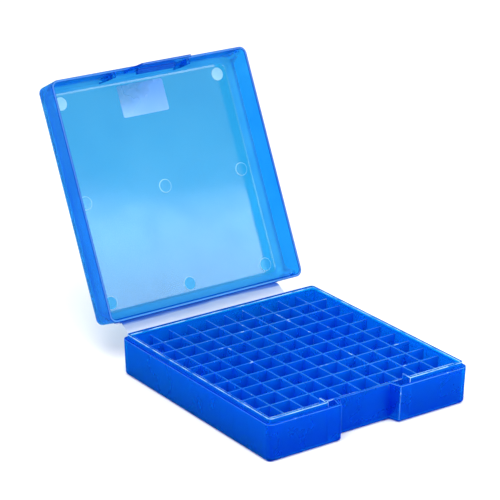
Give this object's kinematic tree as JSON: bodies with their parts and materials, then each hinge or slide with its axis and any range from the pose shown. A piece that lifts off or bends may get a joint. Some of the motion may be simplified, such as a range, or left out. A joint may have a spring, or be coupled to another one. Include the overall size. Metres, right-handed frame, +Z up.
{
  "type": "cryogenic storage box",
  "caption": "Shallow hinged box of translucent blue plastic with a grid of square cells for small sample tubes, a latch tab on the lid and a clear hinge strip.",
  "frame": {"origin": "centre of the tray's underside", "axes": "+Z up, -Y towards the front with the latch recess, +X to the right along the front; the lid is stored open and leans back over +Y"},
  "size_m": [0.142, 0.242, 0.1695],
  "materials": {
    "tray_plastic": "translucent blue polypropylene, satin gloss",
    "lid_plastic": "translucent blue polypropylene, satin gloss",
    "hinge_plastic": "clear flexible plastic, glossy",
    "label_film": "frosted blank writing film"
  },
  "bodies": {
    "base": {"base_tray": "tray_plastic", "cell_frame": "tray_plastic", "divider_long_1": "tray_plastic", "divider_long_2": "tray_plastic", "divider_long_3": "tray_plastic", "divider_long_4": "tray_plastic", "divider_long_5": "tray_plastic", "divider_long_6": "tray_plastic", "divider_long_7": "tray_plastic", "divider_long_8": "tray_plastic", "divider_long_9": "tray_plastic", "divider_cross_1": "tray_plastic", "divider_cross_2": "tray_plastic", "divider_cross_3": "tray_plastic", "divider_cross_4": "tray_plastic", "divider_cross_5": "tray_plastic", "divider_cross_6": "tray_plastic", "divider_cross_7": "tray_plastic", "divider_cross_8": "tray_plastic", "divider_cross_9": "tray_plastic", "hinge_leaf_base": "hinge_plastic"},
    "hinge_web": {"hinge_web": "hinge_plastic"},
    "lid": {"lid": "lid_plastic", "hinge_leaf_lid": "hinge_plastic", "writing_label": "label_film"}
  },
  "joints": [
    {"name": "tray_fold", "type": "hinge", "parent": "base", "child": "hinge_web", "pos_m": [0, 0.0754, 0.0117], "axis": [-1, 0, 0], "range_deg": [-61.7, 34.3]},
    {"name": "lid_fold", "type": "hinge", "parent": "hinge_web", "child": "lid", "pos_m": [0, 0.0953, 0.02241], "axis": [-1, 0, 0], "range_deg": [-53.95, 30]}
  ],
  "couplings": [
    {"joint": "lid_fold", "follows": "tray_fold", "ratio": 0.87439}
  ]
}
